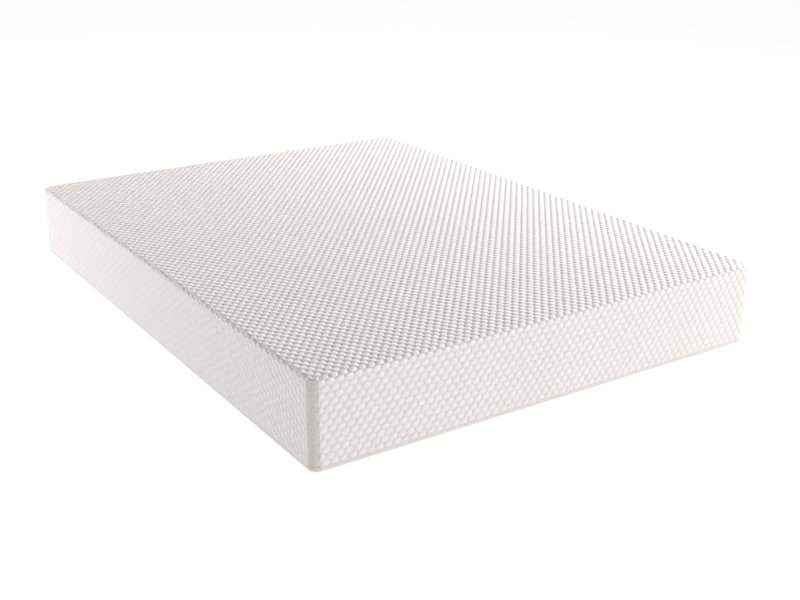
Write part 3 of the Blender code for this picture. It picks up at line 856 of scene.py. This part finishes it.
def make_coil(name, node, reach_up, reach_down, material):
    """The zip's teeth: one nylon thread wound along the tape's edge."""
    low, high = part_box(node)
    inset = HALF_X - high.x + COIL_DEPTH / 2
    bottom, top = low.z - reach_down, high.z + reach_up
    count = int(PERIMETER / COIL_PITCH) * COIL_POINTS
    angle = np.arange(count) * 2 * pi / COIL_POINTS
    deep = inset - (COIL_DEPTH / 2 - COIL_THREAD) * np.cos(angle)
    rise = (bottom + top) / 2 + ((top - bottom) / 2 - COIL_THREAD) * np.sin(angle)
    centres, _, along = upright_frames(np.arange(count) * PERIMETER / count, deep, rise)
    aheads = headings(centres)
    firsts = unit(along - aheads * (along * aheads).sum(1)[:, None])
    radii = np.full(count, COIL_THREAD)
    return tube(name, centres, aheads, firsts, radii, COIL_SIDES, material)


def make_corner_tape(name, node, material):
    """A cotton tape over one upright corner seam, inside the cover."""
    low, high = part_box(node)
    centre = (low + high) / 2
    on_right, at_head = centre.x > 0, centre.y > 0
    number = (7 if at_head else 5) if on_right else (1 if at_head else 3)
    runs = outline_runs()
    # The seam is nearer to the end panel than to the long side.
    share = 0.25 if number in (1, 5) else 0.75
    middle = sum(runs[:number]) + runs[number] * share
    half = runs[number] / 4
    lengths = np.linspace(middle - half, middle + half, 15)
    heights = np.linspace(low.z + 0.0006, high.z - 0.0006, 130)
    profile = strip_profile([(CORNER_TAPE_INSET, z) for z in heights], CORNER_TAPE_THICKNESS)

    def relief(lengths, loop, inset, height):
        across = (lengths - middle) / half
        edge = 0.00016 * bell(np.abs(across) - 0.72, 0.07)
        sign = np.where(inset > CORNER_TAPE_INSET, -1.0, 1.0)
        stitch = 0.5 + 0.5 * np.sin(height * 2 * pi / 0.0034)
        return inset + sign * edge * (0.4 + stitch), height

    return sweep(name, lengths, profile, material, closed=False, relief=relief)


# --- The core ----------------------------------------------------------------


def rope(name, loop, radius, material):
    """A twisted cord round a closed loop of points that lies across the Y axis."""
    aheads = headings(loop)
    firsts = unit(np.cross(aheads, [0.0, 1.0, 0.0]))
    twist = np.arange(len(loop)) * 2 * pi * ROPE_TWISTS / len(loop)
    radii = radius * (1 + 0.28 * np.sin(twist))
    return tube(name, loop, aheads, firsts, radii, 6, material)


def block(box, step, edge):
    """All six faces of a rounded box, with close lines near its edges."""
    xs, ys = plan_lines(box, edge, step)
    deep = edge[edge < (box.high - box.low) * 0.45]
    count = max(int((box.high - box.low - 2 * deep.max()) / step), 1) + 1
    inner = np.linspace(box.low + deep.max(), box.high - deep.max(), count + 1)
    zs = np.unique(np.round(np.concatenate([box.low + deep, inner, box.high - deep]), 7))
    return box_surface(box, xs, ys, zs, ["top", "bottom", "foot", "head", "left", "right"])


def make_barrier(material, thread):
    """The knitted fire barrier: a sleeve round the foam, and a panel sewn in at each end."""
    low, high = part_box("barrier_sleeve")
    seam_y = high.y
    half_x, half_y = high.x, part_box("barrier_end_head")[1].y
    box = RoundedBox(half_x, half_y, low.z, high.z, BARRIER_CORNER, BARRIER_TOP_RADIUS,
                     BARRIER_LOW_RADIUS)
    edge = np.append(metres(BARRIER_LINES), half_y - seam_y)
    shell = block(box, 0.0125, np.unique(np.round(edge, 6)))
    y, z = shell["place"][:, 1], shell["place"][:, 2]
    u, v = shell["cloth"].T
    away = np.abs(np.abs(y) - seam_y)
    gather = bell(away, 0.020) * np.sin((u + z) * 2 * pi / 0.021)
    on_top = smoothstep(0.35, 0.95, shell["normal"][:, 2])
    sunk = 0.0009 + on_top * 0.0006
    offset = slow_waves(u, v, 0.22, 21) * BARRIER_SLACK - sunk + 0.0005 * gather * (away > 0.001)
    place = shell["place"] + shell["normal"] * offset[:, None]
    cloth = cloth_field(shell)
    ends = np.abs(y)[shell["quads"]].max(1) > seam_y + 1e-5
    towards_head = y[shell["quads"]].mean(1) > 0
    made = []
    for name, mask in (("barrier_sleeve_knit", ~ends),
                       ("barrier_end_head_knit", ends & towards_head),
                       ("barrier_end_foot_knit", ends & ~towards_head)):
        used, quads = np.unique(shell["quads"][mask], return_inverse=True)
        made.append(mesh_object(name, place[used], quads.reshape(-1, 4), material,
                                {"cloth": cloth[used]}))
    seams = []
    middle_z = (low.z + high.z) / 2
    for name, sign in (("barrier_seam_head", 1), ("barrier_seam_foot", -1)):
        loop = place[np.abs(y - sign * seam_y) < 1e-5]
        turn = np.arctan2((loop[:, 2] - middle_z) / (high.z - middle_z), loop[:, 0] / half_x)
        loop = resample(loop[np.argsort(turn)], ROPE_POINTS)
        seams.append(rope(name, loop, SEAM_RADIUS, thread))
    return made, seams


def resample(loop, count):
    """Evenly spaced points round a closed loop."""
    closed = np.vstack([loop, loop[:1]])
    steps = np.concatenate([[0], np.cumsum(np.linalg.norm(np.diff(closed, axis=0), axis=1))])
    wanted = np.arange(count) * steps[-1] / count
    return np.column_stack([np.interp(wanted, steps, closed[:, k]) for k in range(3)])


def make_foam(name, node, material, top_edge, seed):
    """A cut slab with slightly uneven faces and softened edges."""
    low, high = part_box(node)
    box = RoundedBox(high.x, high.y, low.z, high.z, FOAM_CORNER, top_edge, FOAM_EDGE)
    shell = block(box, 0.016, metres(FOAM_LINES))
    uneven = 0.00025 * slow_waves(*shell["cloth"].T, 0.15, seed) - 0.0004
    sawn = 0.0001 * np.sin(shell["place"][:, 2] * 2 * pi / 0.006)
    sawn *= np.abs(shell["normal"][:, 2]) < 0.5
    return skin(name, shell, uneven + sawn, material)


def make_base(material, thread):
    """The base panel, with an overlocked edge."""
    low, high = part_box("cover_base")
    box = RoundedBox(high.x, high.y, low.z + 0.0003, high.z, CORNER_RADIUS - (HALF_X - high.x),
                     0.0008, 0.0008)
    shell = block(box, 0.012, metres(BASE_LINES))
    slack = 0.00008 * slow_waves(*shell["cloth"].T, 0.10, 31)
    panel = skin("base_fabric", shell, slack, material)
    overlock = stitch_row("base_stitching", np.arange(0.0, PERIMETER, 0.0044),
                          HALF_X - high.x + 0.0045, low.z + 0.00045, 0.0036, 0.0003, thread,
                          facing="down")
    return panel, overlock


# --- Stage, light and camera -------------------------------------------------


def make_stage():
    """A white floor, and white all round it."""
    size = FLOOR_HALF_SIZE
    points = [(-size, -size, 0), (size, -size, 0), (size, size, 0), (-size, size, 0)]
    floor = mesh_object("studio_floor", points, [(0, 1, 2, 3)], floor_material(), smooth=False)
    floor.location.z = -FLOOR_DROP
    world = bpy.data.worlds.new("studio")
    world.use_nodes = True
    nodes, links = world.node_tree.nodes, world.node_tree.links
    background = nodes["Background"]
    background.inputs["Color"].default_value = WHITE
    background.inputs["Strength"].default_value = WORLD_STRENGTH
    # The backdrop beyond the floor is as white as the floor, and lights no more for it.
    backdrop = nodes.new("ShaderNodeBackground")
    backdrop.inputs["Color"].default_value = WHITE
    seen = nodes.new("ShaderNodeLightPath")
    either = nodes.new("ShaderNodeMixShader")
    links.new(seen.outputs["Is Camera Ray"], either.inputs["Fac"])
    links.new(background.outputs["Background"], either.inputs[1])
    links.new(backdrop.outputs["Background"], either.inputs[2])
    links.new(either.outputs["Shader"], nodes["World Output"].inputs["Surface"])
    bpy.context.scene.world = world


def add_area_light(name, location, target, size, power, colour=(1, 1, 1)):
    data = bpy.data.lights.new(name, "AREA")
    data.shape = "RECTANGLE"
    data.size, data.size_y = size
    data.energy = power
    data.color = colour
    light = bpy.data.objects.new(name, data)
    light.location = location
    bpy.context.scene.collection.objects.link(light)
    aim = np.subtract(target, location)
    aim = aim / np.linalg.norm(aim)
    tilt, swing = np.arccos(-aim[2]), np.arctan2(-aim[0], aim[1])
    light.rotation_euler = Euler((float(tilt), 0.0, float(swing)))


def make_lights():
    """Soft light mostly from the right, with fills so that no face falls dark."""
    middle, size, cool = (0.0, 0.0, 0.15), (1.6, 1.2), (0.97, 0.97, 1.0)
    add_area_light("key", (3.9, -1.0, 2.1), middle, size, 205.0)
    add_area_light("key_behind", (3.6, 1.6, 1.9), middle, size, 35.0, (0.98, 0.98, 1.0))
    add_area_light("far_right", (2.6, 3.2, 1.7), middle, size, 52.0, cool)
    add_area_light("far_left", (-3.3, 2.5, 1.1), (-0.76, 0.8, 0.12), (1.6, 1.4), 68.0,
                   (0.97, 0.965, 1.0))
    add_area_light("front_right", (2.4, -4.4, 1.4), (0.4, -1.0, 0.15), size, 36.0)
    add_area_light("front", (0.6, -4.4, 1.6), (0.2, -1.0, 0.15), (2.4, 1.6), 20.0)


def make_camera():
    data = bpy.data.cameras.new("camera")
    data.sensor_width = 36.0
    data.lens = 52.48
    data.clip_end = 200.0
    camera = bpy.data.objects.new("camera", data)
    camera.location = (-1.9442, -3.1960, 1.4036)
    camera.rotation_euler = Euler((radians(69.0147), radians(-0.0953), radians(-33.2924)))
    bpy.context.scene.collection.objects.link(camera)
    bpy.context.scene.camera = camera


def settle(piece, body, nodes=()):
    """Puts a piece on its body and in the place of its CAD nodes."""
    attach(piece, body)
    if nodes:
        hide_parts(*nodes)


def dress_cover():
    """The cover, its zip and its base."""
    knit = puffed_knit_material()
    hem_knit = plain_knit_material("hem_knit_look", (0.775, 0.740, 0.712), (0.715, 0.678, 0.650))
    inner_knit = plain_knit_material("backing_look", (0.78, 0.765, 0.74), (0.66, 0.645, 0.62),
                                     wale=150.0)
    tape = woven_material("woven_tape_look", (0.80, 0.785, 0.76), (0.62, 0.605, 0.58))
    thread = thread_material("thread_look", (0.84, 0.82, 0.79), (0.70, 0.68, 0.65))

    cover, backing = make_cover(knit), make_backing(inner_knit)
    for face in (cover, backing):
        settle(face, "cover", ["cover_upper"])

    hem, hem_thread = make_hem(hem_knit, thread)
    settle(hem, "cover", ["hem_band"])
    settle(hem_thread, "cover")

    upper_tape, tape_thread, lower_tape = make_tapes(tape, thread)
    settle(upper_tape, "cover", ["zip_tape_upper"])
    settle(tape_thread, "cover")
    settle(lower_tape, "core", ["zip_tape_lower"])

    nylon = coil_material()
    for node, body, up, down in (("zip_coil_upper", "cover", 0.0, COIL_REACH),
                                 ("zip_coil_lower", "core", COIL_REACH, 0.0)):
        settle(make_coil(node + "_teeth", node, up, down, nylon), body, [node])

    for node in ("corner_seam_head_right", "corner_seam_head_left",
                 "corner_seam_foot_left", "corner_seam_foot_right"):
        piece = make_corner_tape(node + "_tape", node, tape)
        settle(piece, "cover", [node])

    metal = metal_material()
    for node in ("zip_slider", "zip_pull", "zip_stop_upper", "zip_stop_lower"):
        for slot in NODES[node].material_slots:
            slot.material = metal

    base_cloth = woven_material("base_fabric_look", (0.66, 0.655, 0.65), (0.50, 0.495, 0.49),
                                thread=210.0)
    base, base_thread = make_base(base_cloth, thread)
    settle(base, "core", ["cover_base"])
    settle(base_thread, "core")


def dress_core():
    """The fire barrier and the three foam slabs inside it."""
    thread = thread_material("barrier_thread_look", (0.80, 0.79, 0.75), (0.60, 0.59, 0.56))
    knit = plain_knit_material("barrier_knit_look", (0.84, 0.825, 0.79), (0.70, 0.685, 0.65),
                               wale=120.0, bump=0.0006, sheen=0.3)
    (sleeve, head, foot), seams = make_barrier(knit, thread)
    settle(sleeve, "core", ["barrier_sleeve"])
    for panel, node in ((head, "barrier_end_head"), (foot, "barrier_end_foot")):
        settle(panel, "core", [node])
    for seam in seams:
        settle(seam, "core")

    slabs = (
        ("memory_foam", (0.86, 0.90, 0.87), (0.78, 0.83, 0.80), BARRIER_TOP_RADIUS - FOAM_EDGE, 41),
        ("transition_foam", (0.93, 0.91, 0.86), (0.85, 0.83, 0.78), FOAM_EDGE, 42),
        ("support_foam", (0.88, 0.88, 0.85), (0.80, 0.80, 0.77), FOAM_EDGE, 43),
    )
    for node, light, dark, top_edge, seed in slabs:
        look = foam_material(node + "_look", light, dark)
        slab = make_foam(node + "_slab", node, look, top_edge, seed)
        settle(slab, "core", [node])


bpy.context.scene.view_settings.view_transform = "Standard"
make_camera()
make_stage()
make_lights()
dress_cover()
dress_core()
